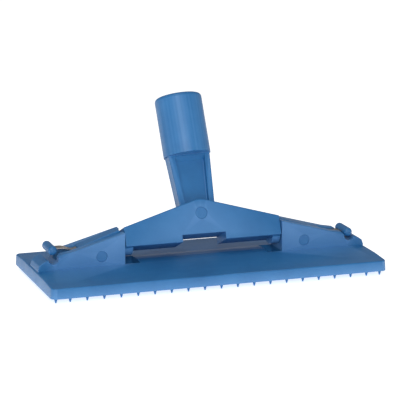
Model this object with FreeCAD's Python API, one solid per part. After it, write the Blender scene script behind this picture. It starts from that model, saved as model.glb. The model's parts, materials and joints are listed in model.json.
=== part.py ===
import FreeCAD, Part
import math
import os

# Swivelling floor pad holder: spiked plate, two end brackets, tilting yoke and handle socket.
# Millimetres. X runs along the plate, -Y is the front, +Z up. Z = 0 is the flat underside
# of the plate, and the origin is the centre of that face. The spikes reach below it.

V = FreeCAD.Vector
X_AXIS, Y_AXIS, Z_AXIS = V(1, 0, 0), V(0, 1, 0), V(0, 0, 1)
SIDES = (("left", -1), ("right", 1))

# ---- driving dimensions ----
# plate
plate_length = 235.0
plate_depth = 100.0
plate_corner_r = 4.0
plate_draft = 0.6
rim_height = 7.0
crown_height = 9.2
droop_start = 104.0
droop_drop = 1.2
rim_edge_r = 0.9

# spiked sole insert
sole_thickness = 2.4
sole_inset = 2.2
sole_corner_r = 2.5
spike_pitch_x = 11.55
spike_pitch_y = 13.0
spike_columns = 19
spike_rows = 8
end_column_x = 113.6
spike_root_r = 1.5
spike_tip_r = 0.4
spike_length = 3.5
spike_bury = 0.3
sole_screw_x = (-86.6, 0.0, 86.6)
sole_screw_y = 26.0
screw_head_r = 2.6
screw_shank_r = 1.3
screw_length = 6.5

# end brackets, measured outwards from the middle of the plate
bracket_inner = 56.0
bracket_outer = 116.2
bracket_half_depth = 10.4
bracket_wall = 5.6
bracket_top_inner = 30.4
bracket_slope = 0.275
bracket_shoulder_x = 92.0
bracket_shoulder_z = 19.0
bracket_floor = 9.4
notch_x = 105.5
notch_r = 3.6
notch_bottom = 12.8
nose_top = 15.6
nose_start = 109.6
nose_edge_r = 1.6
cross_wall_outer = 60.2
cross_wall_top = 26.6
channel_end = 102.6
bracket_edge_r = 0.5

# lug pockets and raised platform on the plate's top
pocket_outer = 55.9
pocket_inner = 45.6
pocket_half_depth = 9.6
pocket_floor = 4.2
platform_height = 10.1
platform_ridge_half = 3.0

# yoke, in its own upright frame about the trunnion axis
trunnion_height = 21.3
lean_back = 23.5
yoke_half_length = 55.4
yoke_thickness = 20.7
yoke_bottom = -4.5
yoke_end_top = 8.9
yoke_slope = 0.29
yoke_apex_r = 18.0
yoke_notch_half = 15.5
yoke_notch_top = 0.5
yoke_edge_r = 0.8
yoke_end_r = 0.5
lug_radius = 8.7
lug_length = 5.6

# trunnions
pin_radius = 2.6
pin_blind_depth = 3.4
running_gap = 0.05
bush_outer_r = 3.7
bush_length = 13.0

# cross pin and handle stem
cross_height = 14.6
cross_pin_r = 4.2
cross_washer_r = 6.4
cross_washer_thickness = 0.5
stem_half_depth = 5.1
slot_half_depth = 5.7
eye_radius = 11.9
stem_half_width_low = 12.0
stem_half_width_high = 14.8
stem_top = 42.2
flange_width = 4.0
web_half_depth = 2.2
stem_edge_r = 0.7
web_corner_r = 0.9
web_start = 6.8
web_wedge = 4.2
socket_radius = 16.25
socket_length = 41.7
socket_rim_r = 2.6
socket_bore_r = 12.2
socket_bore_depth = 38.0
swing_limit = 45.0
rest_swing = 2.0
slot_gap = 0.7

# cloth clamps
lever_pin_x = 72.2
lever_pin_z = 15.7
lever_pin_r = 3.8
lever_half_width = 4.5
lever_inner = 61.4
lever_nose_inner = 57.6
lever_nose_bottom = 28.1
lever_outer = 87.0
lever_bottom = 12.2
lever_slope = {"left": 0.345, "right": 0.30}
lever_top_at_pin = {"left": 26.9, "right": 26.1}
lever_nose_r = 1.5
lever_heel_r = 1.2
lever_edge_r = 0.5
leaf_thickness = 0.6
leaf_half_width = 3.6
leaf_inner = 77.0
leaf_depth = 1.3
leaf_leave = 87.5
leaf_flat = 98.5
leaf_bend = 4.5
bar_radius = 3.1
bar_half_length = 9.6
bar_end_r = 2.2
bar_height = {"left": 21.9, "right": 18.2}
rivet_r = 0.9
rivet_length = 5.0
rivet_x = 80.5
rivet_spread = 1.9


def export(node, shape):
    """Write one node's solids, after checking that they are sound."""
    clean = shape.removeSplitter()
    if not clean.isValid() or clean.Volume <= 0:
        raise ValueError("bad solid in " + node)
    clean.exportStep("parts/" + node + ".step")
    print(node, len(clean.Solids), "solid(s)", round(clean.Volume / 1000, 2), "cm3")
    return clean


def prism(points, direction, depth):
    """Extrude a closed polygon of 3-D points by depth along direction."""
    face = Part.Face(Part.makePolygon(points + [points[0]]))
    return face.extrude(direction * depth)


def xz_prism(outline, y_low, y_high):
    """Extrude an (x, z) outline from y_low to y_high."""
    return prism([V(x, y_low, z) for x, z in outline], Y_AXIS, y_high - y_low)


def yz_prism(outline, x_low, x_high):
    """Extrude a (y, z) outline from x_low to x_high."""
    return prism([V(x_low, y, z) for y, z in outline], X_AXIS, x_high - x_low)


def block(x_low, x_high, y_low, y_high, z_low, z_high):
    """An axis-aligned box between two corners."""
    size = (x_high - x_low, y_high - y_low, z_high - z_low)
    return Part.makeBox(*size, V(x_low, y_low, z_low))


def y_rod(x, z, radius, y_low, y_high):
    """A round rod along Y."""
    return Part.makeCylinder(radius, y_high - y_low, V(x, y_low, z), Y_AXIS)


def x_rod(z, radius, x_low, x_high):
    """A round rod along X on the mid-plane."""
    return Part.makeCylinder(radius, x_high - x_low, V(x_low, 0, z), X_AXIS)


def rounded_plate(length, depth, corner_r, z_low, z_high, draft=0.0):
    """A plate with rounded plan corners, narrowing by draft on every side towards its top."""
    wires = []
    for z, inset in ((z_low, 0.0), (z_high, draft)):
        half_x, half_y, r = length / 2 - inset, depth / 2 - inset, corner_r
        slab = block(-half_x, half_x, -half_y, half_y, z, z + 1)
        uprights = [e for e in slab.Edges if abs(e.tangentAt(e.FirstParameter).z) > 0.9]
        base = slab.makeFillet(r, uprights)
        bottom = [f for f in base.Faces if abs(f.CenterOfMass.z - z) < 1e-6][0]
        wires.append(bottom.OuterWire)
    return Part.makeLoft(wires, True, True)


def fillet_where(shape, radius, wanted):
    """Round the edges that wanted(edge) picks."""
    edges = [e for e in shape.Edges if wanted(e)]
    return shape.makeFillet(radius, edges)


def tilted(shape):
    """Turn a shape from the yoke's upright frame to its leaning rest place."""
    turned = shape.copy()
    turned.rotate(V(0, 0, 0), X_AXIS, -lean_back)
    turned.translate(V(0, 0, trunnion_height))
    return turned


def swung(shape):
    """Swing a shape about the cross pin to its rest angle in the yoke's plane."""
    turned = shape.copy()
    turned.rotate(V(0, 0, cross_height), Y_AXIS, -rest_swing)
    return turned


def mirrored(shape, sign):
    """The right-hand shape for +1, its mirror image for -1."""
    return shape if sign > 0 else shape.mirror(V(0, 0, 0), X_AXIS)


# ---- plate ----
def plate_blank():
    """Low hipped plate with drafted edges and ends that droop."""
    half_x, half_y = plate_length / 2, plate_depth / 2
    slab = rounded_plate(plate_length, plate_depth, plate_corner_r, 0, 12, plate_draft)
    top_y = bracket_half_depth
    roof = yz_prism([(-half_y - 5, -1), (half_y + 5, -1), (half_y + 5, rim_height - 0.25),
                     (half_y, rim_height), (top_y, crown_height), (-top_y, crown_height),
                     (-half_y, rim_height), (-half_y - 5, rim_height - 0.25)],
                    -half_x - 5, half_x + 5)
    low = crown_height - droop_drop
    droop = xz_prism([(-half_x, -1), (half_x, -1), (half_x, low), (droop_start, crown_height),
                      (-droop_start, crown_height), (-half_x, low)], -half_y - 5, half_y + 5)
    plate = slab.common(roof).common(droop)

    rim = [e for e in plate.Edges if on_rim(e, half_x, half_y)]
    return plate.makeFillet(rim_edge_r, rim)


def on_rim(edge, half_x, half_y):
    """True for an edge that runs along the top of the plate's outer wall."""
    for vertex in edge.Vertexes:
        p = vertex.Point
        beyond_x = max(abs(p.x) - (half_x - plate_corner_r), 0)
        beyond_y = max(abs(p.y) - (half_y - plate_corner_r), 0)
        if math.hypot(beyond_x, beyond_y) < plate_corner_r - 1.2 or p.z < rim_height - 0.8:
            return False
    middle = edge.valueAt((edge.FirstParameter + edge.LastParameter) / 2)
    return max(abs(middle.x) - half_x, abs(middle.y) - half_y) > -1.6


def bracket_top(x):
    """Height of a bracket's side wall at a distance x from the middle."""
    return bracket_top_inner - bracket_slope * (x - bracket_inner)


def bracket():
    """Right-hand bracket: two side walls, a cross wall, a notch and a rounded nose."""
    notch_in = notch_x - notch_r
    outline = [(bracket_inner, 0.5), (bracket_outer, 0.5), (bracket_outer, 9.6),
               (bracket_outer - 1.0, 12.6), (nose_start + 2.4, nose_top - 0.8),
               (nose_start, nose_top - 0.1), (notch_x + notch_r, nose_top - 0.1),
               (notch_in, bracket_shoulder_z - 1.6),
               (notch_in - 1.8, bracket_shoulder_z), (bracket_shoulder_x, bracket_top(bracket_shoulder_x)),
               (bracket_inner, bracket_top_inner)]
    y = bracket_half_depth
    body = xz_prism(outline, -y, y)
    across = [e for e in body.Edges if e.BoundBox.YLength > y and e.BoundBox.ZMin > crown_height - 0.2]
    nose = [e for e in across if e.BoundBox.XMin > notch_x + notch_r + 0.5]
    body = body.makeFillet(nose_edge_r, nose)
    rims = [e for e in body.Edges if is_bracket_rim(e)]
    body = body.makeFillet(bracket_edge_r, rims)
    notch_z = notch_bottom + notch_r
    notch = y_rod(notch_x, notch_z, notch_r, -y - 1, y + 1)
    notch = notch.fuse(block(notch_in, notch_x + notch_r, -y - 1, y + 1, notch_z, 40))
    inner_y = y - bracket_wall
    channel = block(cross_wall_outer, channel_end, -inner_y, inner_y, bracket_floor, 50)
    above_cross_wall = block(bracket_inner - 1, cross_wall_outer + 1, -inner_y, inner_y, cross_wall_top, 50)
    return body.cut(notch).cut(channel).cut(above_cross_wall)


def is_bracket_rim(edge):
    """True for the upper edges of a bracket's front and rear faces."""
    box = edge.BoundBox
    return box.YLength < 0.01 and box.ZMin > crown_height and box.XMax > bracket_inner + 0.1


def base_shell():
    """Plate, platform, lug pockets and both brackets in one moulding."""
    shell = plate_blank()
    ridge, y = platform_ridge_half, bracket_half_depth
    platform = yz_prism([(-y, 5), (y, 5), (y, crown_height), (ridge, platform_height),
                         (-ridge, platform_height), (-y, crown_height)], -pocket_inner, pocket_inner)
    shell = shell.fuse(platform)
    for _, sign in SIDES:
        shell = shell.fuse(mirrored(bracket(), sign))
    shell = shell.cut(sole_blank())
    for _, sign in SIDES:
        pocket = block(pocket_inner, pocket_outer, -pocket_half_depth, pocket_half_depth, pocket_floor, 14)
        pin_bore = x_rod(trunnion_height, pin_radius, bracket_inner - 1, bracket_inner + pin_blind_depth)
        lever_bore = y_rod(lever_pin_x, lever_pin_z, lever_pin_r, -y - 1, y + 1)
        for tool in (pocket, pin_bore, lever_bore):
            shell = shell.cut(mirrored(tool, sign))
    for x, screw_y in screw_places():
        pilot = Part.makeCylinder(screw_shank_r, screw_length, V(x, screw_y, 0), Z_AXIS)
        shell = shell.cut(pilot)
    return shell


# ---- sole ----
def screw_places():
    """Middle points of the sole screws."""
    return [(x, sign * sole_screw_y) for x in sole_screw_x for sign in (-1, 1)]


def spike_places():
    """Points of the spike grid, with one more column at each end of the plate."""
    middle = (spike_columns - 1) / 2
    columns = [(i - middle) * spike_pitch_x for i in range(spike_columns)]
    columns = [-end_column_x] + columns + [end_column_x]
    rows = [(j - (spike_rows - 1) / 2) * spike_pitch_y for j in range(spike_rows)]
    return [(x, y) for x in columns for y in rows]


def screw_clearance(x, y):
    """Smallest distance from a point to a sole screw."""
    return min(math.hypot(x - sx, y - sy) for sx, sy in screw_places())


def sole_blank():
    """Flat insert that fills the recess under the plate."""
    length, depth = plate_length - 2 * sole_inset, plate_depth - 2 * sole_inset
    return rounded_plate(length, depth, sole_corner_r, 0, sole_thickness)


def spiked_sole():
    """Thin insert with a grid of short spikes that grip the pad."""
    spikes = []
    for x, y in spike_places():
        if screw_clearance(x, y) > screw_head_r + spike_root_r + 0.4:
            tip = V(x, y, -spike_length)
            spikes.append(Part.makeCone(spike_tip_r, spike_root_r, spike_length + spike_bury, tip, Z_AXIS))
    sole = sole_blank().fuse(spikes)
    for x, y in screw_places():
        sole = sole.cut(screw(x, y))
    return sole


def screw(x, y):
    """Countersunk sole screw, head flush with the sole's underside."""
    head = Part.makeCone(screw_head_r, screw_shank_r, screw_head_r - screw_shank_r, V(x, y, 0), Z_AXIS)
    shank = Part.makeCylinder(screw_shank_r, screw_length, V(x, y, 0), Z_AXIS)
    return head.fuse(shank)


def sole_screws():
    """All the sole screws as one group of separate solids."""
    group = []
    for x, y in screw_places():
        cross = block(x - 1.4, x + 1.4, y - 0.3, y + 0.3, -1, 0.8)
        cross = cross.fuse(block(x - 0.3, x + 0.3, y - 1.4, y + 1.4, -1, 0.8))
        group.append(screw(x, y).cut(cross).removeSplitter())
    return Part.makeCompound(group)


# ---- yoke ----
def yoke_top(x):
    """Height of the yoke's sloping top edge over the trunnion axis."""
    return yoke_end_top + yoke_slope * (yoke_half_length - abs(x))


def swing_slot():
    """Space that the handle's stem sweeps between its two swing limits."""
    radius = eye_radius + slot_gap
    reach = 40.0
    slot = y_rod(0, cross_height, radius, -slot_half_depth, slot_half_depth)
    limit = math.radians(swing_limit)
    flare = limit + math.atan((stem_half_width_high - stem_half_width_low) / stem_top)
    ray = (math.sin(flare), math.cos(flare))
    side = (math.cos(limit), -math.sin(limit))
    right = [(radius * side[0], cross_height + radius * side[1]),
             (radius * side[0] + reach * ray[0], cross_height + radius * side[1] + reach * ray[1])]
    left = [(-x, z) for x, z in reversed(right)]
    wedge = xz_prism([(0, cross_height)] + right + left, -slot_half_depth, slot_half_depth)
    return slot.fuse(wedge)


def yoke():
    """Tilting yoke with a gabled top, a central notch underneath and a round lug at each end."""
    half, y = yoke_half_length, yoke_thickness / 2
    outline = [(-half, yoke_bottom), (-yoke_notch_half, yoke_bottom), (-yoke_notch_half, yoke_notch_top),
               (yoke_notch_half, yoke_notch_top), (yoke_notch_half, yoke_bottom), (half, yoke_bottom),
               (half, yoke_end_top), (0, yoke_top(0)), (-half, yoke_end_top)]
    body = xz_prism(outline, -y, y)
    apex = [e for e in body.Edges if e.BoundBox.ZMin > yoke_top(0) - 0.01]
    body = body.makeFillet(yoke_apex_r, apex)

    def is_long_rim(edge):
        box = edge.BoundBox
        flat = box.YLength < 0.01 and abs(abs(box.YMin) - y) < 0.01
        return flat and box.XLength > 5 and (box.ZMin > 1.5 or box.ZMax < yoke_bottom + 0.1)

    body = fillet_where(body, yoke_edge_r, is_long_rim)
    ends = [e for e in body.Edges if e.BoundBox.XLength < 0.01 and abs(e.BoundBox.XMin) > half - 0.01]
    body = body.makeFillet(yoke_end_r, ends)
    for sign in (-1, 1):
        lug = x_rod(0, lug_radius, half - lug_length, half)
        body = body.fuse(mirrored(lug, sign))
    for sign in (-1, 1):
        bush_bore = x_rod(0, bush_outer_r, half - bush_length, half + 1)
        body = body.cut(mirrored(bush_bore, sign))
    body = body.cut(swing_slot())
    return body.cut(y_rod(0, cross_height, cross_pin_r, -y - 1, y + 1))


def trunnion_bush():
    """Right-hand plain bush pressed into the yoke's end."""
    low = yoke_half_length - bush_length
    outer = x_rod(0, bush_outer_r, low, yoke_half_length)
    bore_start = low + 1.2
    return outer.cut(x_rod(0, pin_radius + running_gap, bore_start, yoke_half_length + 1))


def trunnion_pin():
    """Right-hand trunnion pin, from the bracket's cross wall into the bush."""
    end = bracket_inner + pin_blind_depth
    start = yoke_half_length - bush_length + 2.0
    pin = x_rod(trunnion_height, pin_radius, start, end)
    tips = [e for e in pin.Edges if e.BoundBox.XLength < 0.01]
    return pin.makeChamfer(0.5, tips)


def cross_pin():
    """Pin that the handle's stem swings on, flush with both faces of the yoke."""
    y = yoke_thickness / 2
    pin = y_rod(0, cross_height, cross_pin_r, -y, y)
    rims = [e for e in pin.Edges if e.BoundBox.YLength < 0.01]
    return pin.makeChamfer(0.35, rims)


def friction_washer(sign):
    """Thin washer between the stem's eye and one cheek of the yoke."""
    near = stem_half_depth + 0.05
    low, high = sorted((sign * near, sign * (near + cross_washer_thickness)))
    ring = y_rod(0, cross_height, cross_washer_r, low, high)
    return ring.cut(y_rod(0, cross_height, cross_pin_r + running_gap, low - 1, high + 1))


# ---- handle ----
def handle_socket():
    """Handle socket on a flanged stem, with a round eye on the cross pin."""
    base = cross_height
    outline = [(-stem_half_width_low, base), (-stem_half_width_high, base + stem_top),
               (stem_half_width_high, base + stem_top), (stem_half_width_low, base)]
    stem = xz_prism(outline, -stem_half_depth, stem_half_depth)
    stem = fillet_where(stem, stem_edge_r, is_upright)
    eye = y_rod(0, base, eye_radius, -stem_half_depth, stem_half_depth)
    stem = stem.fuse(eye)
    web_low, web_high = base + web_start, base + stem_top
    slope = (stem_half_width_high - stem_half_width_low) / stem_top
    low_half = stem_half_width_low + slope * web_start - flange_width
    high_half = stem_half_width_high - flange_width
    window = [(-low_half, web_low), (-high_half, web_high), (high_half, web_high), (low_half, web_low)]
    for sign in (-1, 1):
        low, high = sorted((sign * web_half_depth, sign * (stem_half_depth + 1)))
        recess = xz_prism(window, low, high)
        near, far = sign * web_half_depth, sign * (stem_half_depth + 1)
        wedge = yz_prism([(near, web_high - web_wedge), (far, web_high), (near, web_high)],
                         -high_half - 1, high_half + 1)
        recess = fillet_where(recess.cut(wedge), web_corner_r, is_web_corner)
        stem = stem.cut(recess)
    bottom = base + stem_top
    barrel = Part.makeCylinder(socket_radius, socket_length, V(0, 0, bottom), Z_AXIS)
    rim = [e for e in barrel.Edges if e.BoundBox.ZMin > bottom + socket_length - 0.01]
    barrel = barrel.makeFillet(socket_rim_r, rim)
    handle = stem.fuse(barrel)
    mouth = bottom + socket_length - socket_bore_depth
    handle = handle.cut(Part.makeCylinder(socket_bore_r, socket_bore_depth + 1, V(0, 0, mouth), Z_AXIS))
    lip = bottom + socket_length
    handle = handle.cut(Part.makeCone(socket_bore_r, socket_bore_r + 0.8, 0.8, V(0, 0, lip - 0.8), Z_AXIS))
    return handle.cut(y_rod(0, base, cross_pin_r + running_gap, -20, 20))


def is_web_corner(edge):
    """True for the edges between a recess's side walls and the web."""
    box = edge.BoundBox
    deep = min(abs(box.YMin), abs(box.YMax)) < web_half_depth + 0.01 and box.YLength < 0.01
    return deep and box.ZLength > stem_top / 2


def is_upright(edge):
    """True for the long side edges of the stem."""
    return edge.BoundBox.ZLength > stem_top - 1


# ---- cloth clamps ----
def lever_top(side, x):
    """Height of a clamp lever's top at a distance x from the middle."""
    return lever_top_at_pin[side] - lever_slope[side] * (x - lever_pin_x)


def clamp_lever(side):
    """Right-hand clamp lever between the bracket's walls, before its rivet holes."""
    nose_z = lever_top(side, lever_nose_inner)
    outline = [(lever_inner, lever_bottom + 1.4), (lever_outer, lever_bottom),
               (lever_outer, lever_top(side, lever_outer)), (lever_nose_inner, nose_z),
               (lever_nose_inner, lever_nose_bottom), (lever_inner, lever_nose_bottom)]
    lever = xz_prism(outline, -lever_half_width, lever_half_width)
    nose = [e for e in lever.Edges if e.BoundBox.YLength > 5 and e.BoundBox.ZMin > nose_z - 0.01]
    lever = lever.makeFillet(lever_nose_r, nose)
    heel = [e for e in lever.Edges if e.BoundBox.YLength > 5 and e.BoundBox.XMin > lever_outer - 0.01]
    lever = lever.makeFillet(lever_heel_r, heel)
    top_rims = [e for e in lever.Edges if e.BoundBox.YLength < 0.01 and e.BoundBox.ZMin > lever_pin_z + 2]
    lever = lever.makeFillet(lever_edge_r, top_rims)
    return lever.cut(y_rod(lever_pin_x, lever_pin_z, lever_pin_r + running_gap, -20, 20))


def leaf_line(side, offset):
    """One face line of a leaf spring, offset upwards from its middle line."""
    lift = offset - leaf_depth
    start = V(leaf_inner, 0, lever_top(side, leaf_inner) + lift)
    leave = V(leaf_leave, 0, lever_top(side, leaf_leave) + lift)
    bar_z = bar_height[side] + offset
    flat = V(leaf_flat, 0, bar_z)
    bend_out = V(leaf_leave + leaf_bend, 0, lever_top(side, leaf_leave + leaf_bend) + lift)
    bend_in = V(leaf_flat - leaf_bend, 0, bar_z)
    return start, leave, bend_out, bend_in, flat, V(notch_x, 0, bar_z)


def leaf_edge(points):
    """Straight seat, smooth bend and straight tongue through a face line's points."""
    start, leave, bend_out, bend_in, flat, end = points
    curve = Part.BezierCurve()
    curve.setPoles([leave, bend_out, bend_in, flat])
    return [Part.LineSegment(start, leave).toShape(), curve.toShape(), Part.LineSegment(flat, end).toShape()]


def leaf_blank(side):
    """Right-hand stainless leaf from inside the lever to the clamp bar."""
    low = leaf_line(side, -leaf_thickness / 2)
    high = leaf_line(side, leaf_thickness / 2)
    caps = [Part.LineSegment(low[0], high[0]).toShape(), Part.LineSegment(low[-1], high[-1]).toShape()]
    ring = Part.Wire(Part.__sortEdges__(leaf_edge(low) + leaf_edge(high) + caps))
    strip = Part.Face(ring).extrude(Y_AXIS * 2 * leaf_half_width)
    strip.translate(Y_AXIS * -leaf_half_width)
    return strip


def leaf_spring(side):
    """Right-hand leaf with its rivet holes."""
    strip = leaf_blank(side)
    for y in (-rivet_spread, rivet_spread):
        strip = strip.cut(spring_rivet(side, y))
    return strip


def spring_rivet(side, y):
    """One blind rivet that pins the leaf inside the lever, from the lever's underside."""
    top = lever_top(side, rivet_x) - leaf_depth + leaf_thickness / 2
    return Part.makeCylinder(rivet_r, rivet_length, V(rivet_x, y, top - rivet_length), Z_AXIS)


def spring_rivets(side):
    """Right-hand pair of rivets as separate solids."""
    return Part.makeCompound([spring_rivet(side, y) for y in (-rivet_spread, rivet_spread)])


def slotted_lever(side):
    """Right-hand clamp lever with the slot for its leaf and the rivet holes."""
    lever = clamp_lever(side).cut(leaf_blank(side))
    for y in (-rivet_spread, rivet_spread):
        lever = lever.cut(spring_rivet(side, y))
    return lever


def clamp_bar(side):
    """Right-hand clamp bar with domed ends, slit to take the leaf's tongue."""
    z = bar_height[side]
    bar = y_rod(notch_x, z, bar_radius, -bar_half_length, bar_half_length)
    rims = [e for e in bar.Edges if e.BoundBox.YLength < 0.01]
    return bar.makeFillet(bar_end_r, rims).cut(leaf_spring(side))


def lever_pin():
    """Right-hand lever pin, flush with both faces of the bracket."""
    y = bracket_half_depth
    pin = y_rod(lever_pin_x, lever_pin_z, lever_pin_r, -y, y)
    rims = [e for e in pin.Edges if e.BoundBox.YLength < 0.01]
    return pin.makeChamfer(0.35, rims)


# ---- all nodes ----
os.makedirs("parts", exist_ok=True)
export("base_shell", base_shell())
export("spiked_sole", spiked_sole())
export("sole_screws", sole_screws())
export("yoke", tilted(yoke()))
export("cross_pin", tilted(cross_pin()))
export("handle_socket", tilted(swung(handle_socket())))
for place, sign in (("front", -1), ("rear", 1)):
    export("friction_washer_" + place, tilted(friction_washer(sign)))
for side, sign in SIDES:
    export("trunnion_bush_" + side, tilted(mirrored(trunnion_bush(), sign)))
    export("trunnion_pin_" + side, mirrored(trunnion_pin(), sign))
    export("clamp_lever_" + side, mirrored(slotted_lever(side), sign))
    export("lever_pin_" + side, mirrored(lever_pin(), sign))
    export("leaf_spring_" + side, mirrored(leaf_spring(side), sign))
    export("spring_rivets_" + side, mirrored(spring_rivets(side), sign))
    export("clamp_bar_" + side, mirrored(clamp_bar(side), sign))
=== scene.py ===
import bpy
import bmesh
import json
import math
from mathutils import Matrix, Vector


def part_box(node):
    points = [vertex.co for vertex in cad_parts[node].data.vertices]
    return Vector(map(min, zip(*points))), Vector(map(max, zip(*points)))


# A blue swivelling floor pad holder on a white studio floor. Metres; X runs along the plate,
# -Y is the front, +Z is up, and Z = 0 is the plate's flat underside.

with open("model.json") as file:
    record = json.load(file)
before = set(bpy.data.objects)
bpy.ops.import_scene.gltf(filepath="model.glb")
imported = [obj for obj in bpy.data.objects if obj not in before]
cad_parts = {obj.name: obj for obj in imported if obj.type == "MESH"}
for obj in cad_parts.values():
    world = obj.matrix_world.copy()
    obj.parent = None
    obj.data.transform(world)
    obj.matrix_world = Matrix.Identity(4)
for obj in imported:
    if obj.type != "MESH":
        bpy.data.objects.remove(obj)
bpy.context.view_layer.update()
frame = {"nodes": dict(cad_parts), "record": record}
scene = bpy.context.scene

PLATE_LOW, PLATE_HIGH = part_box("base_shell")
SOLE_LOW, SOLE_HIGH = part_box("spiked_sole")
FLOOR_Z = SOLE_LOW.z

BLUE = (0.020, 0.150, 0.375)
BLUE_LIGHT = (0.030, 0.180, 0.425)
BLUE_DARK = (0.015, 0.125, 0.325)


# ---- materials ----
def new_material(name):
    """An empty node material: its tree, its shader and the output."""
    material = bpy.data.materials.new(name)
    material.use_nodes = True
    tree = material.node_tree
    tree.nodes.clear()
    output = tree.nodes.new("ShaderNodeOutputMaterial")
    shader = tree.nodes.new("ShaderNodeBsdfPrincipled")
    tree.links.new(shader.outputs["BSDF"], output.inputs["Surface"])
    return material, tree, shader


def add_noise(tree, scale, detail=3.0, roughness=0.5, stretch=(1, 1, 1)):
    """Noise in object space at a scale in features per metre."""
    coords = tree.nodes.new("ShaderNodeTexCoord")
    mapping = tree.nodes.new("ShaderNodeMapping")
    mapping.inputs["Scale"].default_value = stretch
    noise = tree.nodes.new("ShaderNodeTexNoise")
    noise.inputs["Scale"].default_value = scale
    noise.inputs["Detail"].default_value = detail
    noise.inputs["Roughness"].default_value = roughness
    tree.links.new(coords.outputs["Object"], mapping.inputs["Vector"])
    tree.links.new(mapping.outputs["Vector"], noise.inputs["Vector"])
    return noise.outputs["Fac"]


def add_ramp(tree, source, stops):
    """A colour ramp over a value, with (position, colour) stops."""
    ramp = tree.nodes.new("ShaderNodeValToRGB")
    elements = ramp.color_ramp.elements
    while len(elements) < len(stops):
        elements.new(0.5)
    for element, (position, colour) in zip(elements, stops):
        element.position = position
        element.color = (*colour, 1.0)
    tree.links.new(source, ramp.inputs["Fac"])
    return ramp.outputs["Color"]


def add_range(tree, source, low, high, from_low=0.0, from_high=1.0):
    """Map a value to a new range."""
    node = tree.nodes.new("ShaderNodeMapRange")
    node.inputs["From Min"].default_value = from_low
    node.inputs["From Max"].default_value = from_high
    node.inputs["To Min"].default_value = low
    node.inputs["To Max"].default_value = high
    tree.links.new(source, node.inputs["Value"])
    return node.outputs["Result"]


def add_mix(tree, factor, first, second, blend="MIX"):
    """Mix two colour outputs by a factor output."""
    node = tree.nodes.new("ShaderNodeMix")
    node.data_type = "RGBA"
    node.blend_type = blend
    tree.links.new(factor, node.inputs["Factor"])
    tree.links.new(first, node.inputs[6])
    tree.links.new(second, node.inputs[7])
    return node.outputs[2]


def add_bumps(tree, shader, layers):
    """Chain bump nodes from (height output, distance in metres, strength)."""
    normal = None
    for height, distance, strength in layers:
        bump = tree.nodes.new("ShaderNodeBump")
        bump.inputs["Distance"].default_value = distance
        bump.inputs["Strength"].default_value = strength
        tree.links.new(height, bump.inputs["Height"])
        if normal is not None:
            tree.links.new(normal, bump.inputs["Normal"])
        normal = bump.outputs["Normal"]
    tree.links.new(normal, shader.inputs["Normal"])


def moulded_blue(name, highlight_strength=1.0):
    """Semi-matte moulded polypropylene: faint flow mottling, fine grain and convex edges painted
    paler as a painted highlight.
    """
    material, tree, shader = new_material(name)
    flow = add_noise(tree, 38.0, detail=4.0, roughness=0.6)
    colour = add_ramp(tree, flow, [(0.25, BLUE_DARK), (0.52, BLUE), (0.85, BLUE_LIGHT)])
    geometry = tree.nodes.new("ShaderNodeNewGeometry")
    # Convex edges (high pointiness) get a paler blue mixed into the base colour: a painted edge
    # highlight, not wear.
    highlight_mask = add_range(tree, geometry.outputs["Pointiness"], 0.0, 0.55 * highlight_strength, 0.53, 0.62)
    highlight_colour = add_ramp(tree, flow, [(0.0, (0.12, 0.30, 0.62)), (1.0, (0.16, 0.36, 0.68))])
    tree.links.new(add_mix(tree, highlight_mask, colour, highlight_colour), shader.inputs["Base Color"])
    grain = add_noise(tree, 2600.0, detail=2.0)
    smear = add_noise(tree, 120.0, detail=3.0, stretch=(0.35, 1, 1))
    tree.links.new(add_range(tree, smear, 0.36, 0.52), shader.inputs["Roughness"])
    shader.inputs["Specular IOR Level"].default_value = 0.5
    shader.inputs["Subsurface Weight"].default_value = 0.05
    shader.inputs["Subsurface Radius"].default_value = (0.001, 0.002, 0.004)
    add_bumps(tree, shader, [(flow, 0.0003, 0.25), (grain, 0.00002, 0.35)])
    return material


def brushed_steel(name):
    """Rolled stainless strip: fine lengthwise brushing and uneven, slightly brown reflection."""
    material, tree, shader = new_material(name)
    brushing = add_noise(tree, 900.0, detail=4.0, stretch=(0.04, 1, 1))
    tint = add_noise(tree, 60.0, detail=2.0)
    colour = add_ramp(tree, tint, [(0.3, (0.24, 0.21, 0.19)), (0.7, (0.42, 0.38, 0.34))])
    tree.links.new(colour, shader.inputs["Base Color"])
    shader.inputs["Metallic"].default_value = 1.0
    tree.links.new(add_range(tree, brushing, 0.22, 0.42), shader.inputs["Roughness"])
    add_bumps(tree, shader, [(brushing, 0.00004, 0.4)])
    return material


def white_acetal(name):
    """Smooth off-white bearing plastic with faint turning marks."""
    material, tree, shader = new_material(name)
    turning = add_noise(tree, 500.0, detail=2.0, stretch=(1, 0.1, 1))
    colour = add_ramp(tree, turning, [(0.2, (0.74, 0.73, 0.70)), (0.8, (0.83, 0.82, 0.79))])
    tree.links.new(colour, shader.inputs["Base Color"])
    tree.links.new(add_range(tree, turning, 0.28, 0.40), shader.inputs["Roughness"])
    add_bumps(tree, shader, [(turning, 0.00002, 0.4)])
    return material


def studio_white(name):
    """Plain pale floor."""
    material, tree, shader = new_material(name)
    tone = add_noise(tree, 3.0)
    colour = add_ramp(tree, tone, [(0.0, (0.90, 0.90, 0.90)), (1.0, (0.93, 0.93, 0.93))])
    tree.links.new(colour, shader.inputs["Base Color"])
    shader.inputs["Roughness"].default_value = 0.8
    shader.inputs["Emission Color"].default_value = (1.0, 1.0, 1.0, 1.0)
    shader.inputs["Emission Strength"].default_value = 0.72
    return material


def dress(obj, material):
    """Give an object one material on all its faces."""
    obj.data.materials.clear()
    obj.data.materials.append(material)


blue = moulded_blue("blue_polypropylene")
steel = brushed_steel("stainless_strip")
acetal = white_acetal("acetal")
SLOT_MATERIAL = {"blue_plastic": blue, "stainless": steel, "acetal": acetal}
for entry in frame["record"]["subparts"]:
    dress(frame["nodes"][entry["node"]], SLOT_MATERIAL[entry["material_slot"]])

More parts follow.
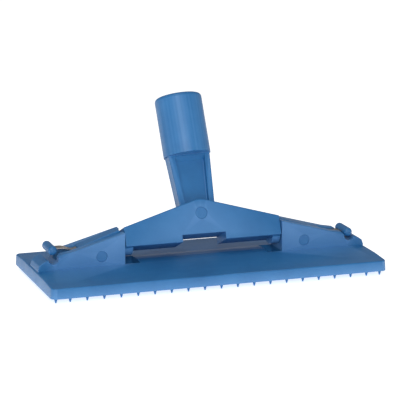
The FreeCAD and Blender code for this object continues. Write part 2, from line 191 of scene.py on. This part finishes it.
# ---- stage, light and camera ----
def make_floor():
    """One large white sheet just under the spikes."""
    bpy.ops.mesh.primitive_plane_add(size=6.0, location=(0, 0, FLOOR_Z - 0.0002))
    floor = bpy.context.object
    floor.name = "studio_floor"
    dress(floor, studio_white("studio_white"))


def area_light(name, place, target, size, power):
    """A soft square lamp aimed at a point."""
    lamp = bpy.data.lights.new(name, "AREA")
    lamp.shape = "SQUARE"
    lamp.size = size
    lamp.energy = power
    holder = bpy.data.objects.new(name, lamp)
    scene.collection.objects.link(holder)
    holder.location = place
    holder.rotation_euler = (Vector(target) - Vector(place)).to_track_quat("-Z", "Y").to_euler()
    return holder


def make_lights():
    """White surroundings, a broad key from the upper left and a weaker lamp from above, slightly
    front left.
    """
    world = bpy.data.worlds.new("studio")
    scene.world = world
    world.use_nodes = True
    background = world.node_tree.nodes["Background"]
    background.inputs["Color"].default_value = (1.0, 1.0, 1.0, 1.0)
    background.inputs["Strength"].default_value = 0.34
    area_light("key", (-0.45, -1.15, 0.55), (0, 0, 0.03), 0.5, 7.0)
    area_light("top", (-0.25, -0.25, 1.0), (0, 0, 0.03), 0.5, 2.0)


CAMERA_AZIMUTH = math.radians(18.56)
CAMERA_ELEVATION = math.radians(12.92)
CAMERA_DISTANCE = 1.494
FOCAL_MM = 196.9
AIM_SIDEWAYS = 0.0002
AIM_UP = 0.0457


def make_camera():
    """Long lens from the front left, a little above the plate."""
    a, e = CAMERA_AZIMUTH, CAMERA_ELEVATION
    back = Vector((-math.sin(a) * math.cos(e), -math.cos(a) * math.cos(e), math.sin(e)))
    right = Vector((math.cos(a), -math.sin(a), 0))
    up = back.cross(right)
    data = bpy.data.cameras.new("camera")
    data.lens = FOCAL_MM
    data.sensor_width = 36.0
    data.clip_start = 0.05
    holder = bpy.data.objects.new("camera", data)
    scene.collection.objects.link(holder)
    holder.location = back * CAMERA_DISTANCE + right * AIM_SIDEWAYS + up * AIM_UP
    holder.rotation_euler = back.to_track_quat("Z", "Y").to_euler()
    scene.camera = holder


make_floor()
make_lights()
make_camera()
scene.view_settings.view_transform = "Standard"
